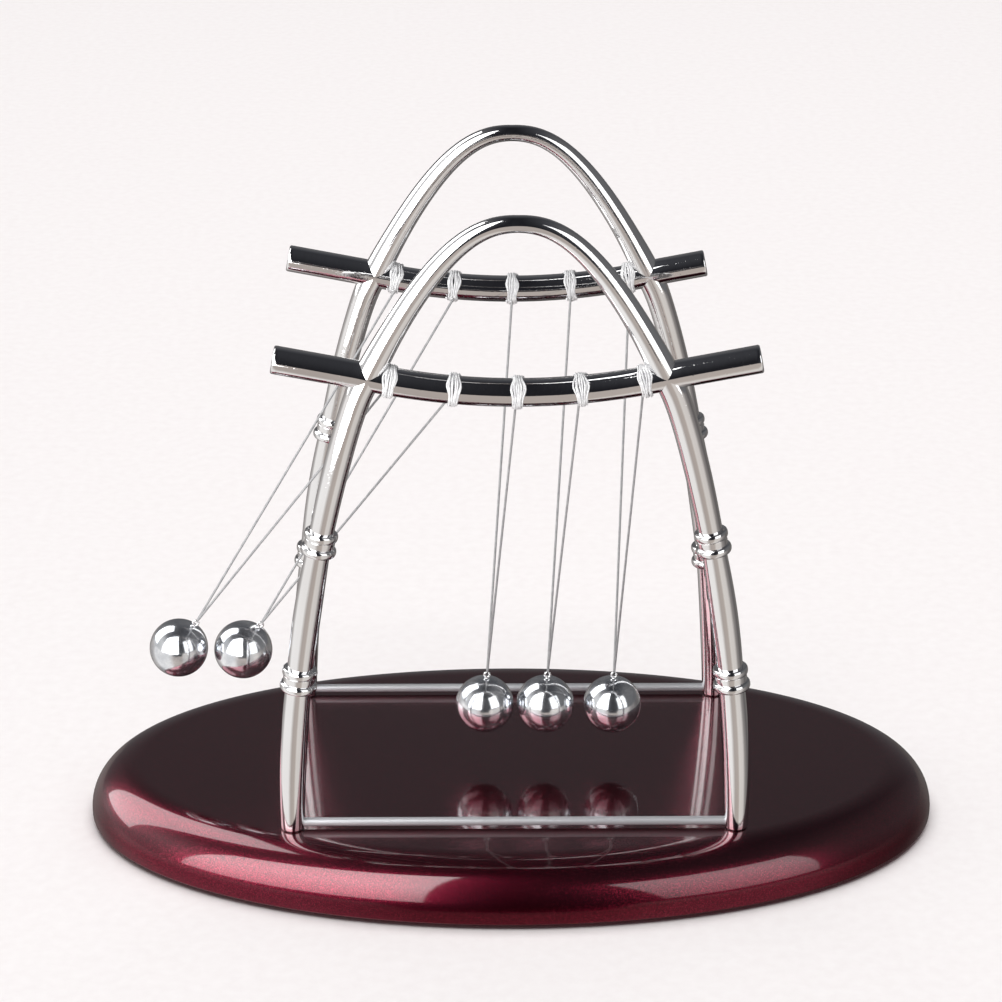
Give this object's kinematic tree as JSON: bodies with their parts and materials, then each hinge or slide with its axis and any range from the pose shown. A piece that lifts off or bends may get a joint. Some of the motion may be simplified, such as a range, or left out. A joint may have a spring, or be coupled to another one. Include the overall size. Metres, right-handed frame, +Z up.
{
  "type": "newton's cradle desk sculpture",
  "caption": "Newton's cradle: polished steel balls hung on nylon lines between chromed bamboo-style arched frames on an oval lacquered base.",
  "frame": {"origin": "on the table under the middle of the base", "axes": "+X along the row of balls, to the right seen from the front; +Y from front to back; +Z up"},
  "size_m": [0.2202, 0.125, 0.1753],
  "materials": {
    "lacquer": "deep red metallic-flake lacquer under a gloss clear coat",
    "chrome": "mirror chrome plate",
    "steel": "mirror-polished steel",
    "nylon": "translucent nylon line",
    "screw": "zinc plated",
    "pad": "black felt"
  },
  "bodies": {
    "stand": {"base": "lacquer", "front_left_pad": "pad", "front_right_pad": "pad", "back_left_pad": "pad", "back_right_pad": "pad", "front_left_screw": "screw", "front_right_screw": "screw", "back_left_screw": "screw", "back_right_screw": "screw", "front_frame": "chrome", "back_frame": "chrome", "front_rail": "chrome", "back_rail": "chrome", "front_line_wrap_1": "nylon", "front_line_wrap_2": "nylon", "front_line_wrap_3": "nylon", "front_line_wrap_4": "nylon", "front_line_wrap_5": "nylon", "back_line_wrap_1": "nylon", "back_line_wrap_2": "nylon", "back_line_wrap_3": "nylon", "back_line_wrap_4": "nylon", "back_line_wrap_5": "nylon"},
    "pendulum_1": {"ball_1": "steel", "eyelet_1": "chrome", "line_1": "nylon"},
    "pendulum_2": {"ball_2": "steel", "eyelet_2": "chrome", "line_2": "nylon"},
    "pendulum_3": {"ball_3": "steel", "eyelet_3": "chrome", "line_3": "nylon"},
    "pendulum_4": {"ball_4": "steel", "eyelet_4": "chrome", "line_4": "nylon"},
    "pendulum_5": {"ball_5": "steel", "eyelet_5": "chrome", "line_5": "nylon"}
  },
  "joints": [
    {"name": "ball_1_swing", "type": "hinge", "parent": "stand", "child": "pendulum_1", "pos_m": [-0.0302, 0, 0.13237], "axis": [0, -1, 0], "range_deg": [-32, 28.5]},
    {"name": "ball_2_swing", "type": "hinge", "parent": "stand", "child": "pendulum_2", "pos_m": [-0.0151, 0, 0.1302], "axis": [0, -1, 0], "range_deg": [-32, 28.5]},
    {"name": "ball_3_swing", "type": "hinge", "parent": "stand", "child": "pendulum_3", "pos_m": [0, 0, 0.12948], "axis": [0, -1, 0], "range_deg": [0, 69]},
    {"name": "ball_4_swing", "type": "hinge", "parent": "stand", "child": "pendulum_4", "pos_m": [0.0151, 0, 0.1302], "axis": [0, -1, 0], "range_deg": [0, 69]},
    {"name": "ball_5_swing", "type": "hinge", "parent": "stand", "child": "pendulum_5", "pos_m": [0.0302, 0, 0.13237], "axis": [0, -1, 0], "range_deg": [0, 69]}
  ],
  "couplings": [
    {"joint": "ball_2_swing", "follows": "ball_1_swing", "ratio": 1},
    {"joint": "ball_4_swing", "follows": "ball_3_swing", "ratio": 1},
    {"joint": "ball_5_swing", "follows": "ball_3_swing", "ratio": 1}
  ]
}
